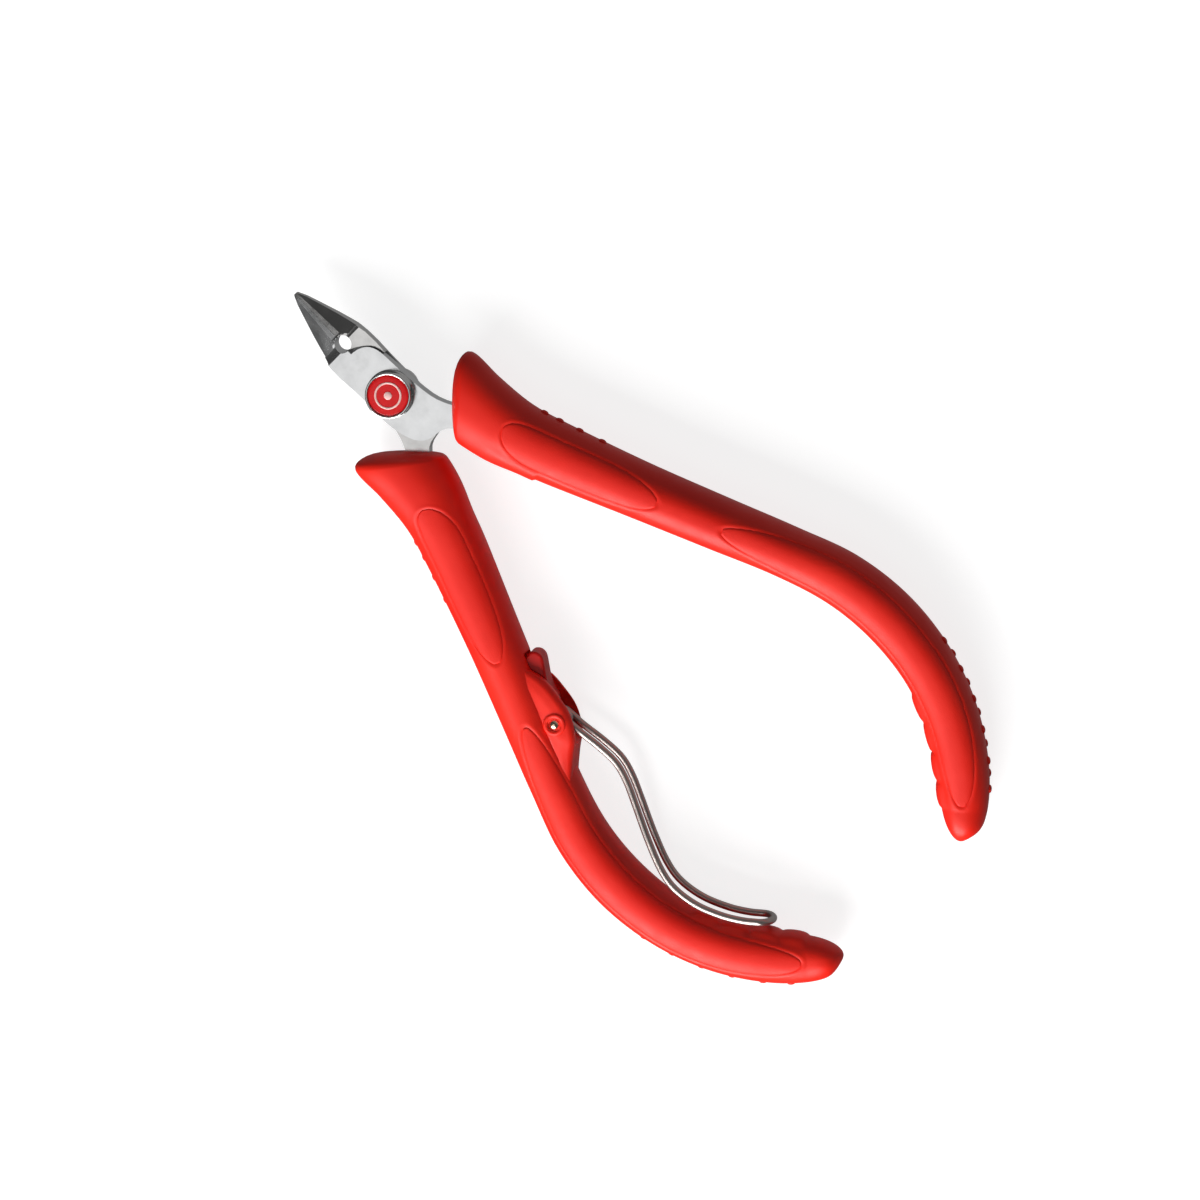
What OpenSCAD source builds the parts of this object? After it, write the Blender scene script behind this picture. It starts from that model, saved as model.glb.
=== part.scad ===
// Flush cutter: two lap-jointed steel levers on one pivot, soft grips with hard inlays,
// and a looped double torsion spring that folds out of a lobe on the left grip.
// +X points to the jaw tips, +Y to the left grip, +Z up. The origin is on the pivot axis,
// in the plane that the tool lies on. All sizes are in millimetres.

/* [Pivot] */
// Thickness of each lever in the lap joint
lap_t = 2.7; // [2.6:0.1:2.8]
// Radius of the pivot bolt's shaft
pivot_r = 2; // [1.9:0.1:2.1]
// Radius of the round nut in front
button_r = 3.5; // [3.4:0.05:3.6]
// Radius of the round bolt head at the rear
bolt_head_r = 2.9; // [2.7:0.1:3.1]
// Radius of the enamelled cap let into the nut
cap_r = 3.1; // [3:0.05:3.15]

/* [Jaws] */
// Distance from the pivot to the jaw tips
jaw_len = 20.7; // [19:0.1:22]
// Half width of the blunt tip of each jaw
tip_half_w = 0.25; // [0.2:0.05:0.4]
// Radius of the relief behind the cutting edges
relief_r = 1.3; // [0.9:0.1:1.4]

/* [Grips] */
// Height of the tool's middle plane above the surface it lies on
mid_z = 5; // [5:0.1:5.4]
// Roundness exponent of the grip's cross-section, 2 is an ellipse
section_n = 2.3; // [2:0.1:3]
// Height of the inlay pocket's floor above the middle plane
inlay_floor = 3.5; // [3.2:0.1:3.8]
// Half width of the inlays
inlay_half_w = 2.4; // [1.8:0.1:2.5]
// How far the grip's small nubs stand out
nub_out = 0.5; // [0.3:0.1:0.6]

/* [Spring] */
// Diameter of the spring wire
wire_d = 1.1; // [1:0.05:1.1]
// Distance from the middle plane to each arm of the spring
arm_z = 2.35; // [2.35:0.05:2.4]
// The same distance at the loop, where the arms stand further apart
loop_z = 3.3; // [2.6:0.1:3.4]
// Radius of the spring's cross pin
pin_r = 0.7; // [0.6:0.1:0.7]
// Half width of the slot that holds the spring
slot_half_w = 3; // [3:0.05:3.1]
// Half thickness of the spring lobe on the left grip
lobe_half_t = 4.4; // [4.2:0.1:4.6]

/* [Hidden] */
$fn = 64;

STEEL = [0.80, 0.81, 0.82];
RED = [0.86, 0.07, 0.05];
DEEP_RED = [0.72, 0.05, 0.06];
BIG = 60;

run_gap = 0.04;      // running clearance of the moving fits, on the radius and between faces
seat_gap = 0.02;     // clearance between parts that are bonded or pressed together
edge_gap = 0.02;     // half the gap between the closed cutting edges
button_t = mid_z - lap_t;   // height of the bolt head, and of the nut with its gap, outside the levers

// Ribs of the left grip from the collar to the tail: inner edge x, y, outer edge x, y, half thickness.
GRIP_RIBS = [
    [-10.8,  1.7,   -2.4, 10.8, 4.3],
    [-12.6,  1.5,   -4.4, 12.7, 4.7],
    [-16.5,  2.6,   -9.8, 12.8, 4.9],
    [-21.0,  4.6,  -16.0, 13.4, 4.95],
    [-25.7,  6.5,  -22.3, 15.3, 4.95],
    [-37.6, 11.8,  -34.4, 19.6, 4.95],
    [-49.5, 17.0,  -46.5, 24.4, 4.95],
    [-59.4, 21.3,  -56.6, 28.5, 4.9],
    [-67.9, 24.0,  -66.1, 32.0, 4.8],
    [-76.0, 24.8,  -76.0, 33.2, 4.8],
    [-84.1, 23.9,  -85.9, 31.9, 4.7],
    [-91.1, 21.3,  -94.9, 28.4, 4.6],
    [-97.4, 17.2, -102.6, 23.0, 4.3],
    [-102.6, 13.4, -107.4, 17.2, 3.5],
    [-106.4, 12.0, -107.6, 13.2, 1.2]];
LAST_RIB = len(GRIP_RIBS) - 1;
RIB_STEP = 1/3;      // spacing of the grip's rings, in ribs
GRIP_SIDES = 20;

// The cross pin of the spring, just inside the grip's inner edge.
PIN = [-52, 17.8];
COIL_R = 1.35;       // radius of the coils, at the middle of the wire
COIL_TURNS = 1;
COIL_PITCH = wire_d + 0.05;
COIL_ROOM_R = 2.1;   // radius of the room for the coils in the lobe
LOBE_EDGE = [[-42.5, 15.4], [-44.2, 14.7], [-46.5, 14.3], [-49, 14.5], [-51.8, 15], [-54, 16],
    [-55.8, 17.4], [-57.3, 19.4], [-59.8, 22.2]];   // edge of the lobe round the pin, seen from above
HUB_R = 1.8;         // radius of the catch's hub
CATCH_HALF_T = 0.55; // half thickness of the catch between the two coils
TAB_HALF_T = 2.4;    // half thickness of the catch's thumb tab
TAB = [-43.2, 13.65];    // middle of the thumb tab's round end
TAB_R = 1.4;
TAB_FOOT = [-46.2, 15.4];    // middle of its foot, where it meets the lobe
TAB_FOOT_R = 0.9;

// Arm of the parked spring, from the coil to the loop at its end, seen from above.
ARM_ROUTE = [PIN - [0, COIL_R], [-55, 16.3], [-59, 15.8], [-62.5, 15.7], [-65.5, 16.5], [-69, 18.1],
    [-74, 20.5], [-78.5, 22.3], [-82, 22.9], [-86, 22.3], [-89.8, 20.7], [-92.5, 19], [-94.3, 17.5]];
ARM_RINGS_PER_POINT = 3;
LOOP_RINGS = 9;
LOOP_LEN = 1.9;      // how far the loop reaches beyond the arms
WIRE_SIDES = 8;

// ---- functions -------------------------------------------------------------

// Catmull-Rom curve through rows of numbers; t runs from 0 to the last row's number.
function curve(rows, t) =
    let (last = len(rows) - 1,
        i = min(floor(t), last - 1),
        f = t - i,
        p1 = rows[i],
        p2 = rows[i + 1],
        p0 = i > 0 ? rows[i - 1] : 2*p1 - p2,
        p3 = i + 2 <= last ? rows[i + 2] : 2*p2 - p1)
    0.5*(2*p1 + (p2 - p0)*f + (2*p0 - 5*p1 + 4*p2 - p3)*f*f + (3*p1 - p0 - 3*p2 + p3)*f*f*f);

function unit(v) = v/norm(v);
function rounded(c) = sign(c)*pow(abs(c), 2/section_n);
function inner_edge(rib) = [rib[0], rib[1]];
function outer_edge(rib) = [rib[2], rib[3]];
function rib_middle(rib) = (inner_edge(rib) + outer_edge(rib))/2;
function rib_across(rib) = unit(outer_edge(rib) - inner_edge(rib));

// One ring of the grip's surface at rib number t. The first ring is drawn in a little, as a soft lip.
function grip_ring(t) =
    let (rib = curve(GRIP_RIBS, t),
        lip = t < RIB_STEP/2 ? 0.93 : 1,
        half = lip*(outer_edge(rib) - inner_edge(rib))/2)
    [for (k = [0:GRIP_SIDES - 1])
        let (a = 360*k/GRIP_SIDES, p = rib_middle(rib) + half*rounded(cos(a)))
        [p.x, p.y, mid_z + lip*rib[4]*rounded(sin(a))]];

// Points of a strip that follows the grip's middle line from rib t0 to t1, in_w inwards and out_w outwards.
function strip(t0, t1, in_w, out_w, steps) =
    let (ribs = [for (i = [0:steps]) curve(GRIP_RIBS, t0 + (t1 - t0)*i/steps)])
    concat([for (i = [0:steps]) rib_middle(ribs[i]) - in_w*rib_across(ribs[i])],
        [for (i = [steps:-1:0]) rib_middle(ribs[i]) + out_w*rib_across(ribs[i])]);

// Points of a leaf on the grip's middle line from rib t0 to t1, with rounded ends.
function leaf(t0, t1, half_w, steps) =
    let (ribs = [for (i = [0:steps]) curve(GRIP_RIBS, t0 + (t1 - t0)*i/steps)],
        w = [for (i = [0:steps]) half_w*pow(max(0, 1 - pow(abs(2*i/steps - 1), 4)), 0.5)])
    concat([for (i = [0:steps]) rib_middle(ribs[i]) - w[i]*rib_across(ribs[i])],
        [for (i = [steps - 1:-1:1]) rib_middle(ribs[i]) + w[i]*rib_across(ribs[i])]);

// The corners of the straight band that touches two circles on both sides.
function belt(c1, r1, c2, r2) =
    let (d = c2 - c1,
        base = atan2(d.y, d.x),
        a = acos((r1 - r2)/norm(d)))
    [c1 + r1*[cos(base + a), sin(base + a)], c2 + r2*[cos(base + a), sin(base + a)],
        c2 + r2*[cos(base - a), sin(base - a)], c1 + r1*[cos(base - a), sin(base - a)]];

// A closed outline, drawn anticlockwise, with every point moved out by a distance.
function grown(points, by) = [for (i = [0:len(points) - 1])
    let (n = len(points),
        d = unit(points[(i + 1) % n] - points[(i + n - 1) % n]))
    points[i] + by*[d.y, -d.x]];

// Tangent of a route at point i.
function heading(route, i) = unit(route[min(i + 1, len(route) - 1)] - route[max(i - 1, 0)]);

// ---- helpers ---------------------------------------------------------------

// Skin over rings that all have the same number of points.
module skin(rings) {
    n = len(rings[0]);
    last = len(rings) - 1;
    sides = [for (i = [0:last - 1], k = [0:n - 1])
        [i*n + k, i*n + (k + 1) % n, (i + 1)*n + (k + 1) % n, (i + 1)*n + k]];
    start = [for (k = [n - 1:-1:0]) k];
    end = [for (k = [0:n - 1]) last*n + k];
    polyhedron([for (r = rings) each r], concat(
        [for (q = sides) [q[0], q[1], q[2]]],
        [for (q = sides) [q[0], q[2], q[3]]],
        [start, end]));
}

// Round wire along a route in space. The route never runs straight up or down for long.
module wire(route, d) {
    skin([for (i = [0:len(route) - 1])
        let (t = heading(route, i),
            side = unit(cross(t, [0, 0.02, 1])),
            up = cross(side, t))
        [for (k = [0:WIRE_SIDES - 1])
            let (a = 360*(k + 0.5)/WIRE_SIDES)
            route[i] - d/2*(cos(a)*side - sin(a)*up)]]);
}

module slab(z0, z1) {
    translate([0, 0, z0]) linear_extrude(z1 - z0) children();
}

module other_side() {
    mirror([0, 1, 0]) children();
}

// ---- levers ----------------------------------------------------------------

// Edge of the left lever's plate in the lap joint, seen from above: from the cutting line round the
// disc's front, along the arm into the grip, and back round the crotch to the jaw.
PLATE_FRONT = [[9.2, -0.3], [8.6, 0.9], [7.6, 2.3], [6.6, 3.05], [5.3, 3.4], [3.5, 3.5], [1, 3.6],
    [-1.6, 3.75], [-4.4, 4.1], [-6.4, 4.75], [-8.4, 5.9], [-12, 8.8]];
PLATE_REAR = [[-15, 8.6], [-15, 6.4], [-11.5, 4], [-9.6, 2.3], [-9.1, 0.9], [-8.9, -0.4], [-8.4, -1.5],
    [-7.2, -2.5], [-5.6, -3.1], [-3.7, -3.5], [-1.5, -3.65], [1.5, -3.55], [4, -3.6], [7, -3.8]];
PLATE_END = [9.2, -3.75];
STEP_GAP = 0.06;         // gap between a plate's edge and the other lever's jaw
BAND_X = 11;             // how far forward each jaw's face is lowered in front of the other lever's plate
BAND_H = 1.8;            // height of that lowered band above the middle plane
SCOOP_X = 9.5;           // where the flat of the joint ends and slopes down to the jaws' facets
SCOOP_LEN = 2.4;
SCOOP_DROP = 1;          // how far the facets' rear ends lie below that flat
NOSE_X = 4.4;            // middle of the cone that slopes the front edge of each plate
NOSE_R = 4.8;            // its radius at the height of the lowered band
FACET_SLOPE = 8;         // slope of the facets towards the tips
FACET_H = 2.05;          // height of the facets' rear ends above the middle plane
FACET_CANT = 14;         // slope of each facet away from the cutting line
BACK_EDGE = [[-3.75, -0.4], [-2.6, -2.8], [-2.6, -6], [-9, -6], [-9, -0.4]];    // y, z of what the
                         // chamfer takes off the rear of each jaw's side, z from the middle plane
NOTCH_X = 10.3;          // middle of the relief behind the cutting edges
TANG_START = 1.6;        // rib numbers between which the tang runs inside the grip
TANG_END = 11.6;
TANG_IN = 1.0;
TANG_OUT = 2.6;
TANG_HALF_T = 2.0;

// Outline of the left jaw: the half of the head with y above zero.
module jaw_outline() {
    polygon([[0, edge_gap], [jaw_len, edge_gap], [jaw_len, tip_half_w], [19.2, 0.95], [17, 1.65],
        [14.3, 2.5], [12.3, 3.05], [10.5, 3.5], [9.2, 3.75], [7, 3.8], [4, 3.6], [0, 3.5]]);
}

// Side view of the head: flat over the joint, scooped in front of it, then falling to the tips.
module head_profile() {
    rotate([90, 0, 0]) linear_extrude(2*BIG, center = true) difference() {
        polygon([[-BIG, mid_z - lap_t], [SCOOP_X, mid_z - lap_t], [jaw_len, mid_z - 0.7],
            [jaw_len, mid_z + 0.6], [SCOOP_X + SCOOP_LEN, mid_z + lap_t - SCOOP_DROP],
            [SCOOP_X, mid_z + lap_t], [-BIG, mid_z + lap_t]]);
        translate([SCOOP_X + 1.5, mid_z + lap_t + 0.5]) circle(1.55);
    }
}

// Blocks whose faces slope the front and rear facets away from the cutting line on the left jaw.
module jaw_facets() {
    for (side = [1, -1])
        translate([SCOOP_X + 1.4, 0, mid_z + FACET_H*side])
            rotate([0, FACET_SLOPE*side, 0]) rotate([-FACET_CANT*side, 0, 0])
                translate([0, -BIG/2, side > 0 ? 0 : -BIG]) cube(BIG);
}

// A left jaw of full thickness.
module jaw() {
    difference() {
        intersection() {
            slab(0, 2*mid_z) jaw_outline();
            head_profile();
        }
        jaw_facets();
        slab(0, 2*mid_z) translate([NOTCH_X, 0]) circle(relief_r);
    }
}

// Tang of the left lever, sunk in the grip.
module tang(grow = 0) {
    slab(mid_z - TANG_HALF_T - grow, mid_z + TANG_HALF_T + grow)
        polygon(strip(TANG_START - grow, TANG_END + grow, TANG_IN + grow, TANG_OUT + grow, 40));
}

// Flat plate of the left lever, from its disc to the arm that runs into the grip.
module plate_outline(grow = 0) {
    front = len(PLATE_FRONT) - 1;
    rear = len(PLATE_REAR) - 1;
    points = concat([for (i = [0:2*front]) curve(PLATE_FRONT, i/2)],
        [for (i = [0:2*rear]) curve(PLATE_REAR, i/2)], [PLATE_END]);
    if (grow == 0) polygon(points);
    else polygon(grown(points, grow));
}

// What is cut off the plate to slope its front edge down to the other jaw's lowered band.
module nose_cut(front) {
    level = front ? mid_z + BAND_H : mid_z - BAND_H;
    rise = lap_t - BAND_H;
    difference() {
        slab(front ? level : -1, front ? BIG : level)
            translate([NOSE_X, -BIG/2]) square([BIG, BIG]);
        translate([NOSE_X, 0, front ? level - 0.5 : level - rise - 0.5])
            cylinder(h = rise + 1, r1 = front ? NOSE_R + 0.5 : NOSE_R - rise - 0.5,
                r2 = front ? NOSE_R - rise - 0.5 : NOSE_R + 0.5);
    }
}

// Lowest and highest level of a lever's own layer in the lap joint.
function layer(front) = front ? [mid_z + run_gap/2, mid_z + lap_t] : [mid_z - lap_t, mid_z - run_gap/2];

// One lever with its grip on the left and its jaw on the right, in the front layer or the rear one.
module lever(front) {
    own = layer(front);
    difference() {
        union() {
            difference() {
                slab(own[0], own[1]) plate_outline();
                nose_cut(front);
            }
            tang();
            difference() {
                other_side() jaw();
                // room for the other lever's plate, and the lowered band in front of it
                slab(front ? -1 : own[1], front ? own[0] : BIG) {
                    other_side() plate_outline(STEP_GAP);
                    translate([-BIG, -BIG/2]) square([BIG + 5, BIG]);
                }
                slab(front ? -1 : mid_z + BAND_H, front ? mid_z - BAND_H : BIG)
                    translate([-BIG, -BIG/2]) square([BIG + BAND_X, BIG]);
            }
        }
        slab(-1, BIG) circle(pivot_r + run_gap);
        translate([-BIG, 0, mid_z]) rotate([90, 0, 90]) linear_extrude(2*BIG) polygon(BACK_EDGE);
    }
}

module left_lever() {
    color(STEEL) lever(false);
}

module right_lever() {
    color(STEEL) other_side() lever(true);
}

// ---- pivot -----------------------------------------------------------------

THREAD_R = 1.4;
CAP_T = 0.8;

module pivot_bolt() {
    color(STEEL) difference() {
        union() {
            cylinder(h = button_t, r = bolt_head_r);
            cylinder(h = mid_z + lap_t, r = pivot_r);
            cylinder(h = mid_z + lap_t + button_t - CAP_T - 0.1, r = THREAD_R);
        }
        for (side = [1, -1])
            translate([1.8*side, 0, -1]) cylinder(h = 1.9, r = 0.45, $fn = 24);
    }
}

// Round nut with a thin collar at its foot and a recess for the cap.
module pivot_nut() {
    color(STEEL) translate([0, 0, mid_z + lap_t + run_gap]) difference() {
        union() {
            cylinder(h = 0.4, r = button_r + 0.15);
            cylinder(h = button_t - run_gap, r = button_r);
        }
        translate([0, 0, -1]) cylinder(h = BIG, r = THREAD_R + seat_gap);
        translate([0, 0, button_t - run_gap - CAP_T]) cylinder(h = BIG, r = cap_r + seat_gap);
    }
}

// Enamelled cap with a slightly raised middle.
module pivot_cap() {
    color(RED) translate([0, 0, 2*mid_z - CAP_T + seat_gap]) {
        cylinder(h = CAP_T - 0.2, r = cap_r);
        cylinder(h = CAP_T - 0.1, r = cap_r - 0.5);
    }
}

// ---- grips -----------------------------------------------------------------

THUMB_LEAF = [2.5, 5.3];    // rib numbers between which the short inlay runs
PALM_LEAF = [6.1, 12.6];    // and the long one
OUTER_NUBS = [3.4, 3.8, 4.15, 4.45, 9.8, 10.3, 10.8, 11.3, 11.8, 12.3];  // rib numbers of the outer nubs
INNER_NUBS = [10.6, 11.25, 11.95, 12.65];                               // and of the inner ones
OUTER_NUB_R = 1.1;
INNER_NUB_R = 2.2;

module inlay_outline(span, grow = 0) {
    polygon(leaf(span[0] - grow/8, span[1] + grow/8, inlay_half_w + grow, span[1] - span[0] > 4 ? 40 : 24));
}

module grip_body() {
    skin([for (i = [0:LAST_RIB/RIB_STEP]) grip_ring(i*RIB_STEP)]);
}

// Everything above the floor of a left inlay's pocket, or below the floor of a rear one.
module inlay_prism(span, front, grow = 0) {
    if (front) slab(mid_z + inlay_floor - grow, BIG) inlay_outline(span, grow);
    else slab(-BIG, mid_z - inlay_floor + grow) inlay_outline(span, grow);
}

// Low bumps along the outer edge, and larger ones inside the tail.
module nubs() {
    for (t = OUTER_NUBS) {
        rib = curve(GRIP_RIBS, t);
        p = outer_edge(rib) - (OUTER_NUB_R - nub_out)*rib_across(rib);
        translate([p.x, p.y, mid_z]) sphere(OUTER_NUB_R, $fn = 18);
    }
    for (t = INNER_NUBS) {
        rib = curve(GRIP_RIBS, t);
        p = inner_edge(rib) + (INNER_NUB_R - nub_out)*rib_across(rib);
        translate([p.x, p.y, mid_z]) sphere(INNER_NUB_R, $fn = 18);
    }
}

// Left grip, for a lever whose plate is in the front or the rear layer. Children are added to its body.
module grip(front) {
    own = layer(front);
    difference() {
        union() {
            grip_body();
            nubs();
            children();
        }
        tang(seat_gap);
        slab(own[0] - seat_gap, own[1] + seat_gap) plate_outline(seat_gap);
        for (span = [THUMB_LEAF, PALM_LEAF], face = [true, false])
            inlay_prism(span, face, seat_gap);
    }
}

// The lobe that holds the spring, before the slot parts it into two cheeks.
module lobe_outline() {
    last = len(LOBE_EDGE) - 1;
    polygon(concat([for (i = [0:2*last]) curve(LOBE_EDGE, i/2)], [[-58, 24], [-46, 19]]));
}

// The slot for the coils and the catch, open towards the other grip.
module slot_outline() {
    room = TAB_R + 0.3;
    translate(PIN) circle(COIL_ROOM_R);
    translate(TAB) circle(room);
    polygon(belt(PIN, COIL_ROOM_R, TAB, room));
    translate(PIN - [9, 8]) square([9, 8.3]);
    translate(PIN - [0, 8]) square([9, 6.5]);
}

module left_grip() {
    color(RED) difference() {
        grip(false) slab(mid_z - lobe_half_t, mid_z + lobe_half_t) lobe_outline();
        slab(mid_z - slot_half_w, mid_z + slot_half_w) slot_outline();
        translate(PIN) cylinder(h = BIG, r = pin_r);
    }
}

module right_grip() {
    color(RED) other_side() grip(true);
}

module inlay(span, front) {
    color(DEEP_RED) intersection() {
        grip_body();
        inlay_prism(span, front);
    }
}

// ---- spring ----------------------------------------------------------------

// Middle line of one half of the spring: coil, then arm; side is 1 above the middle plane.
function coil_route(side) = [for (i = [0:14])
    let (f = i/14, a = -90 + 360*COIL_TURNS*(1 - f))
    [PIN.x + COIL_R*cos(a), PIN.y + COIL_R*sin(a), mid_z + side*(arm_z - COIL_PITCH*COIL_TURNS*(1 - f))]];
ARM_POINTS = (len(ARM_ROUTE) - 1)*ARM_RINGS_PER_POINT;
function spread(f) = arm_z + (loop_z - arm_z)*f*f*(3 - 2*f);
function arm_route(side) = [for (i = [1:ARM_POINTS])
    let (p = curve(ARM_ROUTE, i/ARM_RINGS_PER_POINT)) [p.x, p.y, mid_z + side*spread(i/ARM_POINTS)]];
LOOP_END = ARM_ROUTE[len(ARM_ROUTE) - 1];
LOOP_WAY = unit(LOOP_END - ARM_ROUTE[len(ARM_ROUTE) - 2]);
LOOP_ROUTE = [for (i = [1:LOOP_RINGS])
    let (a = 180*i/(LOOP_RINGS + 1), p = LOOP_END + LOOP_LEN*sin(a)*LOOP_WAY)
    [p.x, p.y, mid_z + loop_z*cos(a)]];
function backwards(list) = [for (i = [len(list) - 1:-1:0]) list[i]];

module return_spring() {
    color(STEEL) wire(concat(coil_route(1), arm_route(1), LOOP_ROUTE,
        backwards(arm_route(-1)), backwards(coil_route(-1))), wire_d);
}

module spring_pin() {
    color(STEEL) translate([PIN.x, PIN.y, mid_z - lobe_half_t])
        cylinder(h = 2*lobe_half_t + 0.1, r = pin_r);
}

module spring_catch() {
    color(RED) difference() {
        union() {
            slab(mid_z - CATCH_HALF_T, mid_z + CATCH_HALF_T) {
                translate(PIN) circle(HUB_R);
                polygon(belt(PIN, HUB_R, TAB, 1));
            }
            slab(mid_z - TAB_HALF_T, mid_z + TAB_HALF_T) {
                translate(TAB) circle(TAB_R);
                translate(TAB_FOOT) circle(TAB_FOOT_R);
                polygon(belt(TAB, TAB_R, TAB_FOOT, TAB_FOOT_R));
            }
        }
        translate(PIN) cylinder(h = BIG, r = pin_r + run_gap);
    }
}

// ---- nodes -----------------------------------------------------------------

left_lever();
right_lever();
pivot_bolt();
pivot_nut();
pivot_cap();
left_grip();
right_grip();
inlay(THUMB_LEAF, true);  // left_front_thumb_inlay
inlay(PALM_LEAF, true);  // left_front_palm_inlay
inlay(THUMB_LEAF, false);  // left_rear_thumb_inlay
inlay(PALM_LEAF, false);  // left_rear_palm_inlay
other_side() inlay(THUMB_LEAF, true);  // right_front_thumb_inlay
other_side() inlay(PALM_LEAF, true);  // right_front_palm_inlay
other_side() inlay(THUMB_LEAF, false);  // right_rear_thumb_inlay
other_side() inlay(PALM_LEAF, false);  // right_rear_palm_inlay
return_spring();
spring_pin();
spring_catch();
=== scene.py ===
"""Looks of the flush cutter: moulded red grips with inlays, nubs and scallops, polished steel levers,
a capped pivot and a looped wire spring. Sizes here are in millimetres until a mesh is made."""
import math

import bmesh
import bpy
import numpy as np
from mathutils import Matrix, Vector


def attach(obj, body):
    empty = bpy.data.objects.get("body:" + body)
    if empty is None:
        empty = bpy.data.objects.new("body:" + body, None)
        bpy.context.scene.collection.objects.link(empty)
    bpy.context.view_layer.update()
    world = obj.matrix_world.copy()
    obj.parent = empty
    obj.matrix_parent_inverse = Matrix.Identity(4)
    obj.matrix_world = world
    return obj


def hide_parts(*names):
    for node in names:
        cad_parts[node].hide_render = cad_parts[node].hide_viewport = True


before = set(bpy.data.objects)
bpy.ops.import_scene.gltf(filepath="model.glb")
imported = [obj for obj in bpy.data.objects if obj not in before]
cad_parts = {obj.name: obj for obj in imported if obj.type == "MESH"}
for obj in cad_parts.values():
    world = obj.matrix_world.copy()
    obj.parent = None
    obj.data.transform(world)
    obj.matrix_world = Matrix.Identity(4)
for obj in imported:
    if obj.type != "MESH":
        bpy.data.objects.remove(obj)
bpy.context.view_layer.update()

MM = 0.001
MID_Z = 5.0
LEFT = "left_half"
RIGHT = "right_half"

# Ribs of the left grip from the collar to the tail: inner edge x, y, outer edge x, y, half thickness.
GRIP_RIBS = np.array([
    [-10.8,  1.7,   -2.4, 10.8, 4.3],
    [-12.6,  1.5,   -4.4, 12.7, 4.7],
    [-16.5,  2.6,   -9.8, 12.8, 4.9],
    [-21.0,  4.6,  -16.0, 13.4, 4.95],
    [-25.7,  6.5,  -22.3, 15.3, 4.95],
    [-37.6, 11.8,  -34.4, 19.6, 4.95],
    [-49.5, 17.0,  -46.5, 24.4, 4.95],
    [-59.4, 21.3,  -56.6, 28.5, 4.9],
    [-67.9, 24.0,  -66.1, 32.0, 4.8],
    [-76.0, 24.8,  -76.0, 33.2, 4.8],
    [-84.1, 23.9,  -85.9, 31.9, 4.7],
    [-91.1, 21.3,  -94.9, 28.4, 4.6],
    [-97.4, 17.2, -102.6, 23.0, 4.3],
    [-102.6, 13.4, -107.4, 17.2, 3.5],
    [-106.4, 12.0, -107.6, 13.2, 1.2]])
LAST_RIB = len(GRIP_RIBS) - 1
SECTION_N = 2.3      # roundness exponent of the grip's cross-section
LIP_T = 0.9          # length of the collar's rounded front, in ribs
TAIL_T = 12.7        # rib where the tail starts to round off

# Leaf-shaped inlays: first and last rib, and half width
THUMB_LEAF = (2.5, 5.3)
PALM_LEAF = (6.1, 12.6)
INLAY_HALF_W = 2.9

# Details of the grips' surface
RECESS_DEPTH = 0.26  # how far the grip sinks under an inlay
GROOVE_DEPTH = 0.08
GROOVE_W = 0.16
SWELL_H = 0.04       # low swelling round an inlay's border
SCALLOP_START = 10.3
SCALLOP_STEP = 0.6   # length of one scallop, in ribs
SCALLOPS = 4
SCALLOP_H = 0.5
LEDGE_X = -24.2      # where the right grip's inner ledge starts
LEDGE_H = 0.30
SKIN_GAP = 0.03      # least distance of a grip's skin from the CAD box's faces
NUB_R = 0.65
NUB_H = 0.36
NUB_REAR_ANGLE = -0.42
FRONT_NUBS = (3.4, 3.8, 4.15, 4.45)
TAIL_NUBS = (9.8, 10.3, 10.8, 11.3, 11.8, 12.3)

# Spring lobe of the left grip
PIN = np.array([-52.0, 17.8])
LOBE_EDGE = [[-41, 16], [-42.5, 15.3], [-44.2, 14.7], [-46.5, 14.3], [-49, 14.5], [-51.8, 15], [-54, 16],
    [-55.8, 17.4], [-57.3, 19.4], [-59.5, 22], [-61.2, 23.4]]
LOBE_HALF_T = 4.35


# ---- curves ----------------------------------------------------------------

def curve(rows, t):
    """Catmull-Rom curve through rows of numbers; t runs from 0 to the last row's number."""
    rows = np.asarray(rows, float)
    last = len(rows) - 1
    i = min(int(math.floor(t)), last - 1)
    f = t - i
    p1, p2 = rows[i], rows[i + 1]
    p0 = rows[i - 1] if i > 0 else 2*p1 - p2
    p3 = rows[i + 2] if i + 2 <= last else 2*p2 - p1
    return 0.5*(2*p1 + (p2 - p0)*f + (2*p0 - 5*p1 + 4*p2 - p3)*f*f + (3*p1 - p0 - 3*p2 + p3)*f**3)


def smoothstep(x, low, high):
    f = np.clip((np.asarray(x, float) - low)/(high - low), 0, 1)
    return f*f*(3 - 2*f)


def unit(v):
    return v/np.linalg.norm(v)


# ---- mesh helpers ----------------------------------------------------------

def mesh_object(name, verts, faces, smooth=True):
    """A mesh object from vertices in millimetres."""
    mesh = bpy.data.meshes.new(name)
    mesh.from_pydata([tuple(MM*c for c in v) for v in verts], [], faces)
    mesh.validate()
    for p in mesh.polygons:
        p.use_smooth = smooth
    obj = bpy.data.objects.new(name, mesh)
    bpy.context.scene.collection.objects.link(obj)
    bm = bmesh.new()
    bm.from_mesh(mesh)
    bmesh.ops.recalc_face_normals(bm, faces=bm.faces)
    bm.to_mesh(mesh)
    bm.free()
    return obj


def grid_faces(rows, cols, closed=True):
    """Quads of a grid of rows by cols vertices, closed round the columns or not."""
    wide = cols if closed else cols - 1
    return [(r*cols + c, r*cols + (c + 1) % cols, (r + 1)*cols + (c + 1) % cols, (r + 1)*cols + c)
            for r in range(rows - 1) for c in range(wide)]


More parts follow.
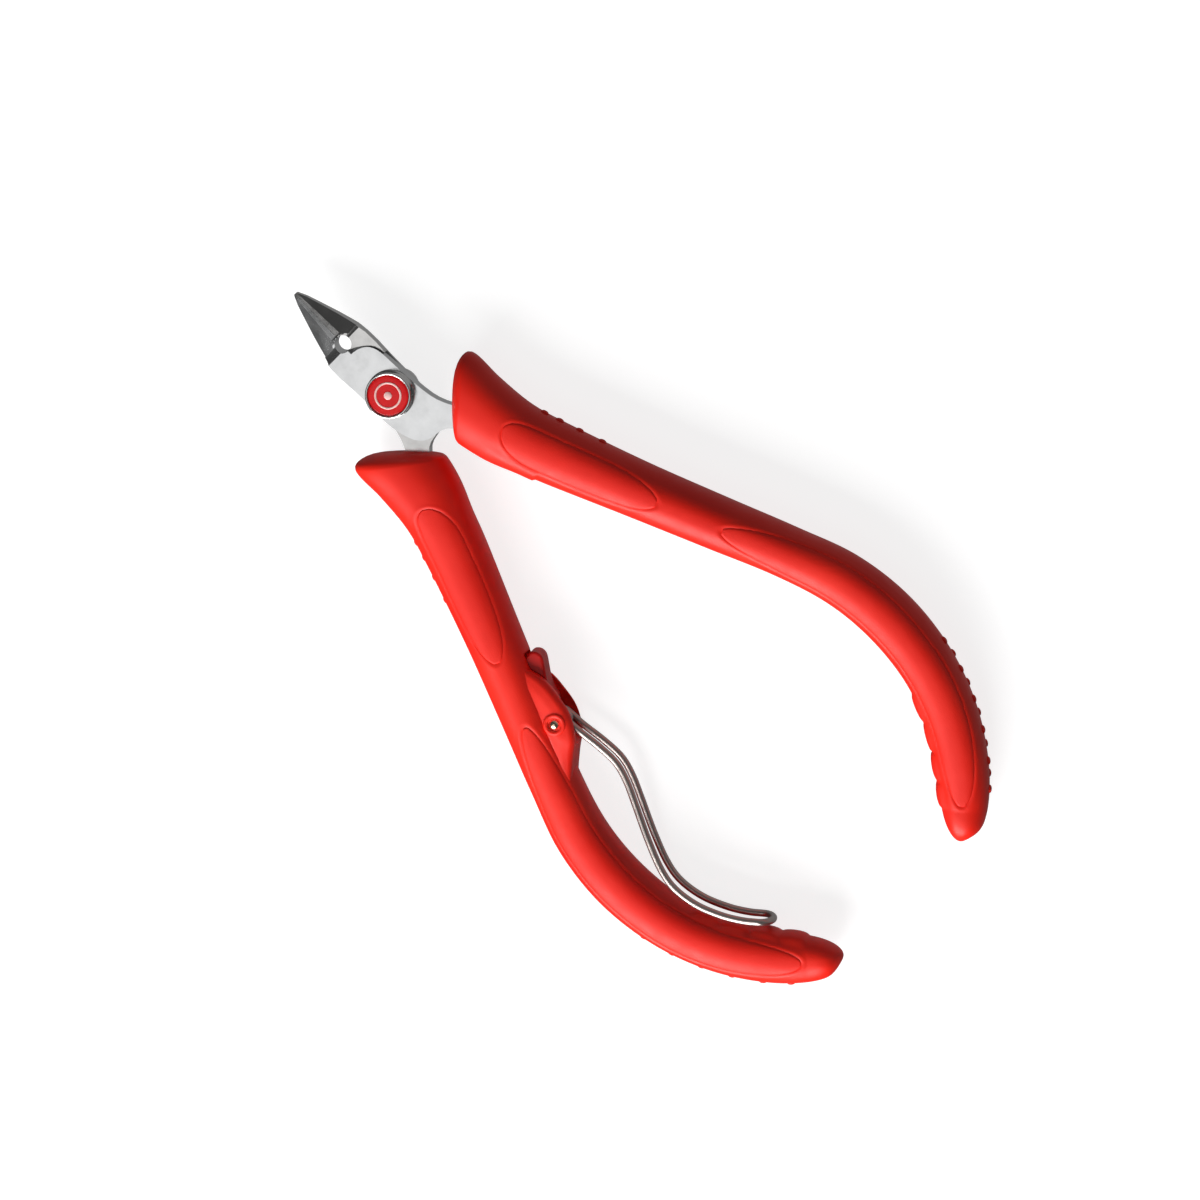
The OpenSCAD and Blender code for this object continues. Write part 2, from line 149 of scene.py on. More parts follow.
def capped_tube(name, rings):
    """A closed skin over rings, which is an array of rings by points by 3."""
    rows, cols = rings.shape[:2]
    verts = [tuple(v) for v in rings.reshape(-1, 3)]
    faces = grid_faces(rows, cols)
    for row, ring in ((0, rings[0]), (rows - 1, rings[-1])):
        centre = len(verts)
        verts.append(tuple(ring.mean(0)))
        faces += [(row*cols + c, row*cols + (c + 1) % cols, centre) for c in range(cols)]
    return mesh_object(name, verts, faces)


def lathe(name, profile, centre, sides=96):
    """A solid turned about a vertical line through centre, from its profile's (radius, z) points."""
    angles = np.linspace(0, 2*math.pi, sides, endpoint=False)
    verts, faces, rows = [], [], []
    for r, z in profile:
        if r < 1e-6:
            rows.append([len(verts)]*sides)
            verts.append((centre[0], centre[1], z))
        else:
            rows.append(list(range(len(verts), len(verts) + sides)))
            verts += [(centre[0] + r*math.cos(a), centre[1] + r*math.sin(a), z) for a in angles]
    for low, high in zip(rows, rows[1:]):
        for c in range(sides):
            d = (c + 1) % sides
            face = [low[c], low[d], high[d], high[c]]
            faces.append([v for i, v in enumerate(face) if v not in face[:i]])
    return mesh_object(name, verts, faces)


def tube(name, route, radius, sides=16):
    """A round wire along a route in space, with rounded ends."""
    route = np.asarray(route, float)
    tangents = np.gradient(route, axis=0)
    tangents /= np.linalg.norm(tangents, axis=1)[:, None]
    side = unit(np.cross(tangents[0], [0.1, 0.2, 1.0]))
    rings = []
    angles = np.linspace(0, 2*math.pi, sides, endpoint=False)
    for i, (p, t) in enumerate(zip(route, tangents)):
        side = unit(side - np.dot(side, t)*t)
        up = np.cross(t, side)
        ring = np.cos(angles)[:, None]*side + np.sin(angles)[:, None]*up
        if i in (0, len(route) - 1):
            way = -1 if i == 0 else 1
            caps = [(p + way*radius*math.sin(a)*t)[None] + radius*math.cos(a)*ring
                    for a in (0, 0.5, 1.0, 1.35)]
            rings += caps[::-1] if i == 0 else caps
        else:
            rings.append(p[None] + radius*ring)
    return capped_tube(name, np.array(rings))


def mirrored(verts):
    return verts*np.array([1, -1, 1])


def add_bevel(obj, width, segments=3, angle=28):
    mod = obj.modifiers.new("edges", "BEVEL")
    mod.width = width*MM
    mod.segments = segments
    mod.limit_method = "ANGLE"
    mod.angle_limit = math.radians(angle)
    mod.harden_normals = True


def cut_away(obj, cutter):
    """Cuts the cutter's solid out of obj and removes the cutter."""
    mod = obj.modifiers.new("cut", "BOOLEAN")
    mod.operation = "DIFFERENCE"
    mod.solver = "EXACT"
    mod.object = cutter
    depsgraph = bpy.context.evaluated_depsgraph_get()
    mesh = bpy.data.meshes.new_from_object(obj.evaluated_get(depsgraph))
    obj.modifiers.clear()
    obj.data = mesh
    bpy.data.objects.remove(cutter)


def prism(name, outline, low, high, smooth=False):
    """A flat-ended solid over a closed outline in plan, from height low to height high."""
    n = len(outline)
    verts = [(x, y, low) for x, y in outline] + [(x, y, high) for x, y in outline]
    faces = [tuple(range(n)), tuple(range(n, 2*n))]
    faces += [(i, (i + 1) % n, n + (i + 1) % n, n + i) for i in range(n)]
    return mesh_object(name, verts, faces, smooth)


def arc(centre, radius, start, end, steps=16):
    """Points of an arc in plan, with its angles in degrees."""
    angles = np.radians(np.linspace(start, end, steps + 1))
    return [(centre[0] + radius*math.cos(a), centre[1] + radius*math.sin(a)) for a in angles]


def closed_curve(points, per_point=6):
    """Smooth closed outline through the points."""
    ring = np.array(list(points)*3, float)
    n = len(points)
    return [tuple(curve(ring, n + i/per_point)) for i in range(n*per_point)]


# ---- materials -------------------------------------------------------------

def material(name, metallic=0.0, ior=1.5, gloss=0.5):
    mat = bpy.data.materials.new(name)
    mat.use_nodes = True
    tree = mat.node_tree
    shader = tree.nodes["Principled BSDF"]
    shader.inputs["Metallic"].default_value = metallic
    shader.inputs["IOR"].default_value = ior
    shader.inputs["Specular IOR Level"].default_value = gloss
    return mat, tree, shader


def noise(tree, scale, detail=4.0, stretch=(1, 1, 1)):
    """Noise over the object's own coordinates, in cycles per metre."""
    coords = tree.nodes.new("ShaderNodeTexCoord")
    mapping = tree.nodes.new("ShaderNodeMapping")
    mapping.inputs["Scale"].default_value = stretch
    tex = tree.nodes.new("ShaderNodeTexNoise")
    tex.inputs["Scale"].default_value = scale
    tex.inputs["Detail"].default_value = detail
    tree.links.new(coords.outputs["Object"], mapping.inputs["Vector"])
    tree.links.new(mapping.outputs["Vector"], tex.inputs["Vector"])
    return tex.outputs["Fac"]


def ramp(tree, value, stops):
    """Colour ramp from (position, colour) stops; a number stands for a grey."""
    node = tree.nodes.new("ShaderNodeValToRGB")
    elements = node.color_ramp.elements
    for i, (pos, colour) in enumerate(stops):
        element = elements[i] if i < 2 else elements.new(pos)
        element.position = pos
        element.color = (*colour, 1) if isinstance(colour, tuple) else (colour, colour, colour, 1)
    tree.links.new(value, node.inputs["Fac"])
    return node.outputs["Color"]


def bump(tree, shader, height, distance, strength=1.0, below=None):
    node = tree.nodes.new("ShaderNodeBump")
    node.inputs["Distance"].default_value = distance
    node.inputs["Strength"].default_value = strength
    tree.links.new(height, node.inputs["Height"])
    if below is not None:
        tree.links.new(below, node.inputs["Normal"])
    tree.links.new(node.outputs["Normal"], shader.inputs["Normal"])
    return node.outputs["Normal"]


def red_rubber(name, dark, bright, roughness, grain, depth):
    mat, tree, shader = material(name, ior=1.48, gloss=0.3)
    cloud = noise(tree, 70, 3)
    tree.links.new(ramp(tree, cloud, [(0.3, dark), (0.7, bright)]), shader.inputs["Base Color"])
    patches = noise(tree, 420, 5)
    low, high = roughness
    tree.links.new(ramp(tree, patches, [(0.3, low), (0.7, high)]), shader.inputs["Roughness"])
    pores = noise(tree, grain, 2)
    skin = bump(tree, shader, pores, depth, 0.6)
    handling = noise(tree, 900, 6, (1, 0.3, 1))
    bump(tree, shader, handling, 0.00001, 0.4, skin)
    return mat


def steel(name, tint, rough_low, rough_high, stretch, grind):
    mat, tree, shader = material(name, metallic=1.0)
    cloud = noise(tree, 160, 4)
    darker = tuple(0.9*c for c in tint)
    tree.links.new(ramp(tree, cloud, [(0.3, darker), (0.7, tint)]), shader.inputs["Base Color"])
    smears = noise(tree, 380, 6)
    tree.links.new(ramp(tree, smears, [(0.3, rough_low), (0.7, rough_high)]), shader.inputs["Roughness"])
    lines = noise(tree, grind, 3, stretch)
    fine = bump(tree, shader, lines, 0.000012, 0.35)
    waves = noise(tree, 240, 2)
    bump(tree, shader, waves, 0.00006, 0.3, fine)
    return mat


GRIP_RED = red_rubber("grip_red", (0.80, 0.014, 0.006), (0.92, 0.024, 0.011), (0.38, 0.48), 5200, 0.00003)
INLAY_RED = red_rubber("inlay_red", (0.80, 0.013, 0.006), (0.90, 0.022, 0.010), (0.42, 0.54), 7000, 0.00004)
CATCH_RED = red_rubber("catch_red", (0.56, 0.007, 0.006), (0.66, 0.012, 0.009), (0.34, 0.44), 4200, 0.00002)
STEEL = steel("polished_steel", (0.80, 0.805, 0.81), 0.14, 0.26, (1, 12, 12), 900)
# Painted shade: a darker, warmer copy of the polished steel for the left lever, standing in for the front
# lever's shadow and a painted warm reflection of the red grips
SHADED_REAR_STEEL = steel("rear_steel_painted_shade", (0.72, 0.71, 0.70), 0.16, 0.28, (1, 12, 12), 900)
NUT_STEEL = steel("turned_steel", (0.80, 0.79, 0.78), 0.12, 0.22, (1, 1, 14), 1400)
WIRE_STEEL = steel("spring_wire", (0.52, 0.46, 0.43), 0.30, 0.42, (1, 9, 9), 1600)
PIN_BRASS = steel("pin_brass", (0.86, 0.70, 0.50), 0.14, 0.26, (1, 1, 10), 1800)


def enamel():
    mat, tree, shader = material("cap_enamel", gloss=0.25)
    cloud = noise(tree, 300, 3)
    tree.links.new(ramp(tree, cloud, [(0.3, (0.60, 0.008, 0.010)), (0.7, (0.70, 0.012, 0.014))]),
        shader.inputs["Base Color"])
    smears = noise(tree, 900, 5)
    tree.links.new(ramp(tree, smears, [(0.3, 0.14), (0.7, 0.24)]), shader.inputs["Roughness"])
    bump(tree, shader, noise(tree, 1500, 2), 0.00002, 0.4)
    return mat


def pale_paint():
    mat, tree, shader = material("cap_marks")
    cloud = noise(tree, 900, 4)
    tree.links.new(ramp(tree, cloud, [(0.3, (0.86, 0.50, 0.46)), (0.7, (0.92, 0.62, 0.58))]),
        shader.inputs["Base Color"])
    tree.links.new(ramp(tree, noise(tree, 2500, 3), [(0.3, 0.25), (0.7, 0.4)]), shader.inputs["Roughness"])
    bump(tree, shader, noise(tree, 4000, 2), 0.00001, 0.4)
    return mat


CAP_ENAMEL = enamel()
CAP_MARKS = pale_paint()


def finish_piece(obj, mat, body, slot, *nodes):
    """Gives a piece its material and body, and hides the CAD nodes it stands for."""
    obj.data.materials.clear()
    obj.data.materials.append(mat)
    if nodes:
        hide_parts(*nodes)
    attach(obj, body)
    return obj


# ---- grips -----------------------------------------------------------------

GRIP_RINGS_PER_RIB = 26
GRIP_SIDES = 112


def middle_and_across(rib):
    inner, outer = rib[0:2], rib[2:4]
    return (inner + outer)/2, unit(outer - inner), np.linalg.norm(outer - inner)/2


def leaf_half_width(f):
    f = np.clip(f, 0, 1)
    return INLAY_HALF_W*np.sqrt(np.maximum(0, 1 - np.abs(2*f - 1)**4))


def leaf_border(span, steps=160):
    """Points of a leaf's border in plan."""
    points = []
    for side in (-1, 1):
        for k in range(steps + 1):
            f = (1 - math.cos(math.pi*k/steps))/2
            middle, across, _ = middle_and_across(curve(GRIP_RIBS, span[0] + (span[1] - span[0])*f))
            points.append(middle + side*leaf_half_width(f)*across)
    return np.array(points)


def distance_to(points, plan):
    """Distance from each plan position to the nearest of the points."""
    best = np.full(len(plan), 1e9)
    for p in points:
        best = np.minimum(best, np.hypot(plan[:, 0] - p[0], plan[:, 1] - p[1]))
    return best


def grid_normals(grid):
    along = np.gradient(grid, axis=0)
    around = np.roll(grid, -1, axis=1) - np.roll(grid, 1, axis=1)
    n = np.cross(around, along)
    return n/np.maximum(np.linalg.norm(n, axis=2), 1e-9)[:, :, None]


def grip_grid():
    """Rings of the left grip before its surface details, with each ring's rib number."""
    ts = np.linspace(0, LAST_RIB, LAST_RIB*GRIP_RINGS_PER_RIB + 1)[:-1]
    ts = np.concatenate([ts, LAST_RIB - np.array([0.02, 0.01, 0.004, 0.001])])
    angles = np.linspace(0, 2*math.pi, GRIP_SIDES, endpoint=False)
    cos, sin = np.cos(angles), np.sin(angles)
    power = 2/SECTION_N
    rings = []
    for t in ts:
        rib = curve(GRIP_RIBS, t)
        middle, across, half = middle_and_across(rib)
        thick = rib[4]
        if t > TAIL_T:
            f = (t - TAIL_T)/(LAST_RIB - TAIL_T)
            start = curve(GRIP_RIBS, TAIL_T)
            shrink = math.sqrt(1 - f**2.2)
            half = (1 - 0.44*f)*middle_and_across(start)[2]*shrink
            thick = start[4]*shrink
        reach = half*np.sign(cos)*np.abs(cos)**power
        height = thick*np.sign(sin)*np.abs(sin)**power
        plan = middle[None] + reach[:, None]*across[None]
        rings.append(np.column_stack([plan, MID_Z + height]))
    return np.array(rings), ts


def round_collar(grid, ts):
    """Closes the collar with a rounded front."""
    front, front_ts = [], []
    for s in (0.1, 0.3, 0.5, 0.65, 0.77, 0.86, 0.92, 0.96, 0.985, 1.0):
        t = LIP_T*(1 - math.sqrt(1 - s**3))
        low = int(t*GRIP_RINGS_PER_RIB)
        part = t*GRIP_RINGS_PER_RIB - low
        ring = grid[low]*(1 - part) + grid[low + 1]*part
        centre = ring.mean(0)
        front.append(centre + (ring - centre)*s)
        front_ts.append(t)
    keep = ts > LIP_T + 0.02
    return np.array(front + list(grid[keep])), np.concatenate([front_ts, ts[keep]])


def grip_details(grid, ts, is_left):
    """Distance by which each point of the grid moves out along its normal."""
    rows, cols = grid.shape[:2]
    flat = grid.reshape(-1, 3)
    plan = flat[:, :2]
    ring_t = np.repeat(ts, cols)
    ribs = np.array([curve(GRIP_RIBS, t) for t in ts])
    middles = np.repeat((ribs[:, 0:2] + ribs[:, 2:4])/2, cols, axis=0)
    across = ribs[:, 2:4] - ribs[:, 0:2]
    across = np.repeat(across/np.linalg.norm(across, axis=1)[:, None], cols, axis=0)
    s = ((plan - middles)*across).sum(1)
    out = np.zeros(len(flat))
    facing = smoothstep(np.abs(flat[:, 2] - MID_Z), 1.5, 2.5)
    for span in (THUMB_LEAF, PALM_LEAF):
        f = (ring_t - span[0])/(span[1] - span[0])
        inside = (f > 0) & (f < 1) & (np.abs(s) < leaf_half_width(f))
        d = distance_to(leaf_border(span), plan)
        signed = np.where(inside, d, -d)
        sunk = RECESS_DEPTH*smoothstep(signed, 0.0, 0.30)
        out -= facing*(sunk + GROOVE_DEPTH*np.exp(-(d/GROOVE_W)**2))
        out += facing*SWELL_H*np.exp(-((signed + 0.40)/0.22)**2)
    # scallops for the fingers inside the tail
    f = (ring_t - SCALLOP_START)/SCALLOP_STEP
    number = np.floor(f)
    bulge = np.sqrt(np.maximum(0, 1 - (2*(f - number) - 1)**2))
    on = (number >= 0) & (number < SCALLOPS) & (s < 0)
    window = smoothstep(-np.abs(flat[:, 2] - MID_Z), -3.4, -2.2)*smoothstep(-s, 0.5, 2.0)
    out += np.where(on, SCALLOP_H*bulge*window, 0)
    if not is_left:
        # small ledge where the thick collar ends on the inner side
        along = smoothstep(plan[:, 0], LEDGE_X, LEDGE_X + 0.3)*smoothstep(-plan[:, 0], 13, 20)
        out += LEDGE_H*along*smoothstep(-s, 2.6, 3.9)
    return out.reshape(rows, cols)


def make_grip(name, is_left):
    grid, ts = grip_grid()
    grid, ts = round_collar(grid, ts)
    normals = grid_normals(grid)
    if np.dot(normals[len(grid)//2, 0], [0, 1, 0]) < 0:
        normals = -normals
    grid = grid + normals*grip_details(grid, ts, is_left)[:, :, None]
    grid[:, :, 2] = np.clip(grid[:, :, 2], SKIN_GAP, 2*MID_Z - SKIN_GAP)
    if not is_left:
        grid = mirrored(grid)
    return capped_tube(name, grid)


def surface_point(t, s):
    """Point on the front face of the left grip at rib number t and distance s from its middle line."""
    rib = curve(GRIP_RIBS, t)
    middle, across, half = middle_and_across(rib)
    inside = max(0.0, 1 - abs(s/half)**SECTION_N)
    plan = middle + s*across
    return np.array([plan[0], plan[1], MID_Z + rib[4]*inside**(1/SECTION_N)])


INLAY_GAP = 0.06     # between an inlay's border and the leaf's outline
INLAY_DEPTH = 0.75
INLAY_EDGE_R = 0.35
INLAY_EDGE_DROP = 0.16
LEAF_END_SCALE = 9   # turns a distance in ribs from a leaf's end into millimetres


def make_inlay(name, span, is_left, is_front):
    """A leaf-shaped pad whose rounded border drops into the groove round it."""
    long_steps = 40 + int(14*(span[1] - span[0]))
    wide_steps = 22
    top, base = [], []
    for i in range(long_steps + 1):
        f = 0.004 + 0.992*(1 - math.cos(math.pi*i/long_steps))/2
        t = span[0] + (span[1] - span[0])*f
        width = float(leaf_half_width(f)) - INLAY_GAP
        row_top, row_base = [], []
        for j in range(wide_steps + 1):
            v = math.sin(math.pi/2*(2*j/wide_steps - 1))
            p = surface_point(t, v*width)
            edge = width*(1 - abs(v))
            end = (f if f < 0.5 else 1 - f)*(span[1] - span[0])*LEAF_END_SCALE
            near = min(edge, end)
            drop = INLAY_EDGE_DROP*(1 - math.sqrt(max(0, 1 - max(0, 1 - near/INLAY_EDGE_R)**2)))
            row_top.append(p - [0, 0, drop])
            row_base.append(p - [0, 0, INLAY_DEPTH])
        top.append(row_top)
        base.append(row_base)
    cols = wide_steps + 1
    rows = long_steps + 1
    verts = np.array(top + base).reshape(-1, 3)
    if not is_front:
        verts = verts*np.array([1, 1, -1]) + np.array([0, 0, 2*MID_Z])
    if not is_left:
        verts = mirrored(verts)
    n = rows*cols
    faces = grid_faces(rows, cols, closed=False)
    faces += [tuple(n + v for v in face[::-1]) for face in faces]
    border = list(range(cols)) + [r*cols + cols - 1 for r in range(1, rows)]
    border += [(rows - 1)*cols + c for c in range(cols - 2, -1, -1)]
    border += [r*cols for r in range(rows - 2, 0, -1)]
    for a, b in zip(border, border[1:] + border[:1]):
        faces.append((a, b, b + n, a + n))
    return mesh_object(name, verts, faces)


def nub_mesh(centres, radius, height, is_left, name):
    """Low rounded nubs: each centre is a point on the surface with its outward normal."""
    verts, faces = [], []
    rings, sides = 7, 20
    for p, n in centres:
        side = unit(np.cross(n, [0.3, 0.1, 1.0]))
        up = np.cross(n, side)
        start = len(verts)
        verts.append(p + n*height)
        for i in range(1, rings + 1):
            a = i/rings*math.radians(115)
            for k in range(sides):
                b = 2*math.pi*k/sides
                out = math.cos(b)*side + math.sin(b)*up
                verts.append(p + n*height*math.cos(a) + radius*math.sin(a)*out)
        for k in range(sides):
            faces.append((start, start + 1 + k, start + 1 + (k + 1) % sides))
        for i in range(rings - 1):
            low = start + 1 + i*sides
            for k in range(sides):
                d = (k + 1) % sides
                faces.append((low + k, low + d, low + sides + d, low + sides + k))
        low = start + 1 + (rings - 1)*sides
        faces.append(tuple(low + k for k in range(sides)))
    verts = np.array(verts)
    if not is_left:
        verts = mirrored(verts)
    return mesh_object(name, verts, faces)


def surface_at(t, angle):
    """Point and outward normal of the left grip at rib number t and an angle from the outer edge."""
    def point(tt, aa):
        rib = curve(GRIP_RIBS, tt)
        middle, across, half = middle_and_across(rib)
        c, s = math.cos(aa), math.sin(aa)
        reach = half*math.copysign(abs(c)**(2/SECTION_N), c)
        height = rib[4]*math.copysign(abs(s)**(2/SECTION_N), s)
        plan = middle + reach*across
        return np.array([plan[0], plan[1], MID_Z + height])
    e = 0.02
    p = point(t, angle)
    n = unit(np.cross(point(t + e, angle) - point(t - e, angle), point(t, angle + e) - point(t, angle - e)))
    middle, _, _ = middle_and_across(curve(GRIP_RIBS, t))
    if np.dot(n, p - np.array([middle[0], middle[1], MID_Z])) < 0:
        n = -n
    return p, n


def nub_places():
    """A row of nubs along the outer edge, and a second row behind it on the tail."""
    places = [surface_at(t, 0.0) for t in FRONT_NUBS + TAIL_NUBS]
    return places + [surface_at((a + b)/2, NUB_REAR_ANGLE) for a, b in zip(TAIL_NUBS, TAIL_NUBS[1:])]


COIL_ROOM_HALF_W = 3.0
TAB_ROOM_HALF_W = 2.45
TAB = (-43.2, 13.65)     # middle of the thumb tab's round end
TAB_ROOM_R = 1.8
COIL_ROOM_R = 2.1
ROOM_REAR = (-61, 18.1)  # the rooms' corner inside the grip
ROOM_FRONT_Y = 8         # beyond the lobe's edge
COIL_ROOM = ([(ROOM_REAR[0], ROOM_FRONT_Y), (PIN[0] + COIL_ROOM_R, ROOM_FRONT_Y)]
    + arc(PIN, COIL_ROOM_R, 0, 172) + [ROOM_REAR])
TAB_ROOM = ([(ROOM_REAR[0], ROOM_FRONT_Y), (TAB[0] + TAB_ROOM_R, ROOM_FRONT_Y)]
    + arc(TAB, TAB_ROOM_R, 0, 65) + arc(PIN, COIL_ROOM_R, 65, 172) + [ROOM_REAR])
LOBE_INNER = [(-57, 24.6), (-50, 21.4), (-44, 18.6)]     # hidden inside the grip
LOBE_ROUND = 1.1
LOBE_END_FALL = 0.84     # share of the lobe's thickness that is left at its ends


def cut_slot(obj):
    """Opens the room for the catch and the wider room for the spring's coils."""
    rooms = (("tab_room", TAB_ROOM, TAB_ROOM_HALF_W), ("coil_room", COIL_ROOM, COIL_ROOM_HALF_W))
    for name, edge, half in rooms:
        cut_away(obj, prism(name, edge, MID_Z - half, MID_Z + half))


def make_lobe():
    """The lobe that holds the spring, with rounded edges and slightly crowned cheeks."""
    last = len(LOBE_EDGE) - 1
    edge = np.array([curve(LOBE_EDGE, i/6) for i in range(6*last, -1, -1)])
    way = np.gradient(edge, axis=0)
    way /= np.linalg.norm(way, axis=1)[:, None]
    inwards = np.column_stack([-way[:, 1], way[:, 0]])
    along = np.linspace(0, 1, len(edge))
    taper = (smoothstep(along, 0, 0.25)*smoothstep(-along, -1, -0.8))[:, None]
    fall = smoothstep(along, 0.05, 0.35)*smoothstep(-along, -0.97, -0.55)
    fall = LOBE_END_FALL + (1 - LOBE_END_FALL)*fall
    fall = np.concatenate([fall, np.full(len(LOBE_INNER), LOBE_END_FALL)])
    half = []
    for k in range(9):
        a = math.pi/2*k/8
        half.append((LOBE_ROUND*(1 - math.cos(a)), LOBE_HALF_T - LOBE_ROUND*(1 - math.sin(a))))
    half += [(1.6, LOBE_HALF_T + 0.05), (2.4, LOBE_HALF_T + 0.08)]
    rings = []
    for by, z in [(by, -z) for by, z in half[::-1]] + half:
        plan = np.vstack([edge + by*taper*inwards, LOBE_INNER[::-1]])
        rings.append(np.column_stack([plan, MID_Z + z*fall]))
    lobe = capped_tube("left_spring_lobe", np.array(rings))
    cut_slot(lobe)
    return lobe


finish_piece(make_lobe(), GRIP_RED, LEFT, "grip_red")
# Radius and distance from mid-plane of the raised ring round the pin
BOSS = [(0.95, 4.1), (1.72, 4.1), (1.70, 4.42), (1.58, 4.56), (1.38, 4.62), (1.14, 4.57), (0.98, 4.42),
    (0.95, 4.1)]
for face, side in (("front", 1), ("rear", -1)):
    ring = lathe(f"{face}_pin_boss", [(r, MID_Z + side*z) for r, z in BOSS], PIN, 48)
    finish_piece(ring, GRIP_RED, LEFT, "grip_red")

for label, body in (("left", LEFT), ("right", RIGHT)):
    is_left = label == "left"
    grip = make_grip(f"{label}_grip_moulding", is_left)
    if is_left:
        cut_slot(grip)
    finish_piece(grip, GRIP_RED, body, "grip_red", f"{label}_grip")
    nubs = nub_mesh(nub_places(), NUB_R, NUB_H, is_left, f"{label}_grip_nubs")
    finish_piece(nubs, GRIP_RED, body, "grip_red")
    for face in ("front", "rear"):
        for kind, span in (("thumb", THUMB_LEAF), ("palm", PALM_LEAF)):
            node = f"{label}_{face}_{kind}_inlay"
            inlay = make_inlay(f"{label}_{face}_{kind}_pad", span, is_left, face == "front")
            finish_piece(inlay, INLAY_RED, body, "inlay_red", node)


# ---- steel -----------------------------------------------------------------

STEEL_BEVEL = 0.22
# The left lever gets the steel copy with painted shade and a painted warm reflection
for node, mat in (("left_lever", SHADED_REAR_STEEL), ("right_lever", STEEL), ("pivot_bolt", NUT_STEEL)):
    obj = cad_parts[node]
    obj.data.materials.clear()
    obj.data.materials.append(mat)
    add_bevel(obj, STEEL_BEVEL)

NUT_FOOT = 7.74
NUT_TOP = 10.0
NUT_BORE_R = 1.44
NUT_R = 3.5
CAP_R = 3.1
CAP_SEAT = 9.2
nut = lathe("pivot_ring_nut", [(NUT_BORE_R, NUT_FOOT), (NUT_R, NUT_FOOT), (3.64, NUT_FOOT + 0.1),
    (3.64, NUT_FOOT + 0.3), (3.52, NUT_FOOT + 0.46), (NUT_R, NUT_FOOT + 0.65), (3.49, NUT_TOP - 0.2),
    (3.46, NUT_TOP - 0.06), (3.4, NUT_TOP), (3.18, NUT_TOP), (3.14, NUT_TOP - 0.04),
    (CAP_R + 0.02, NUT_TOP - 0.12), (CAP_R + 0.02, CAP_SEAT), (NUT_BORE_R, CAP_SEAT),
    (NUT_BORE_R, NUT_FOOT)], (0, 0))
finish_piece(nut, NUT_STEEL, LEFT, "polished_steel", "pivot_nut")

CAP_FOOT = CAP_SEAT + 0.02
cap = lathe("pivot_enamel_cap", [(0, CAP_FOOT), (3.0, CAP_FOOT), (3.09, 9.3), (CAP_R, 9.72), (3.02, 9.82),
    (2.8, 9.86), (2.0, 9.88), (1.0, 9.89), (0, 9.9)], (0, 0))
finish_piece(cap, CAP_ENAMEL, LEFT, "cap_enamel", "pivot_cap")

# A plain ring and dot on the cap: names, inner and outer radii
MARKS = (("cap_ring_mark", 1.75, 2.05), ("cap_dot_mark", 0.0, 0.6))
MARK_FOOT = 9.84
MARK_TOP = 9.93
for name, inner, outer in MARKS:
    profile = [(inner, MARK_FOOT), (outer, MARK_FOOT), (outer, MARK_TOP - 0.03), (outer - 0.05, MARK_TOP)]
    if inner:
        profile += [(inner + 0.05, MARK_TOP), (inner, MARK_TOP - 0.03), (inner, MARK_FOOT)]
    else:
        profile.append((0, MARK_TOP))
    finish_piece(lathe(name, profile, (0, 0)), CAP_MARKS, LEFT, "cap_enamel")


# ---- spring, pin and catch -------------------------------------------------

WIRE_R = 0.55
ARM_Z = 2.35         # from mid-plane to an arm at its coil
LOOP_Z = 3.3         # from mid-plane to an arm at the loop
LOOP_LEN = 1.9       # how far the loop reaches past the arms' ends
COIL_R = 1.35
COIL_PITCH = 1.15
COIL_STEPS = 48
ARM_STEPS = 12       # steps between two points of the arm's route
LOOP_STEPS = 24
# Arm of the parked spring in plan, from the coil to the loop
ARM_ROUTE = [[-52, 16.45], [-55, 16.3], [-59, 15.8], [-62.5, 15.7], [-65.5, 16.5], [-69, 18.1],
    [-74, 20.5], [-78.5, 22.3], [-82, 22.9], [-86, 22.3], [-89.8, 20.7], [-92.5, 19], [-94.3, 17.5]]


def half_spring(side):
    """Middle line of one half of the spring from its coil's inner end to the loop."""
    points = []
    for i in range(COIL_STEPS + 1):
        f = i/COIL_STEPS
        a = math.radians(-90 + 360*(1 - f))
        points.append([PIN[0] + COIL_R*math.cos(a), PIN[1] + COIL_R*math.sin(a),
            MID_Z + side*(ARM_Z - COIL_PITCH*(1 - f))])
    last = len(ARM_ROUTE) - 1
    for i in range(1, ARM_STEPS*last + 1):
        x, y = curve(ARM_ROUTE, i/ARM_STEPS)
        f = i/(ARM_STEPS*last)
        points.append([x, y, MID_Z + side*(ARM_Z + (LOOP_Z - ARM_Z)*f*f*(3 - 2*f))])
    return points


def spring_route():
    """Middle line of the whole spring: one coil and arm, the loop, and the other arm and coil."""
    upper = half_spring(1)
    end = np.array(upper[-1])
    way = unit((end - np.array(upper[-8]))*[1, 1, 0])
    loop = []
    for i in range(1, LOOP_STEPS):
        a = math.pi*i/LOOP_STEPS
        p = end + LOOP_LEN*math.sin(a)*way
        loop.append([p[0], p[1], MID_Z + LOOP_Z*math.cos(a)])
    return upper + loop + half_spring(-1)[::-1]


spring = tube("looped_wire_spring", spring_route(), WIRE_R)
finish_piece(spring, WIRE_STEEL, "spring", "spring_steel", "return_spring")

PIN_R = 0.69
# Radius and distance from mid-plane of the pin's domed head
PIN_HEAD = [(0.0, 4.78), (0.3, 4.73), (0.55, 4.60), (0.72, 4.42), (0.8, 4.2), (0.8, 4.0)]
pin_profile = [(r, MID_Z - z) for r, z in PIN_HEAD] + [(PIN_R, MID_Z - 3.9), (PIN_R, MID_Z + 3.9)]
pin_profile += [(r, MID_Z + z) for r, z in PIN_HEAD[::-1]]
pin = lathe("domed_spring_pin", pin_profile, PIN, 40)
finish_piece(pin, PIN_BRASS, LEFT, "pin_brass", "spring_pin")

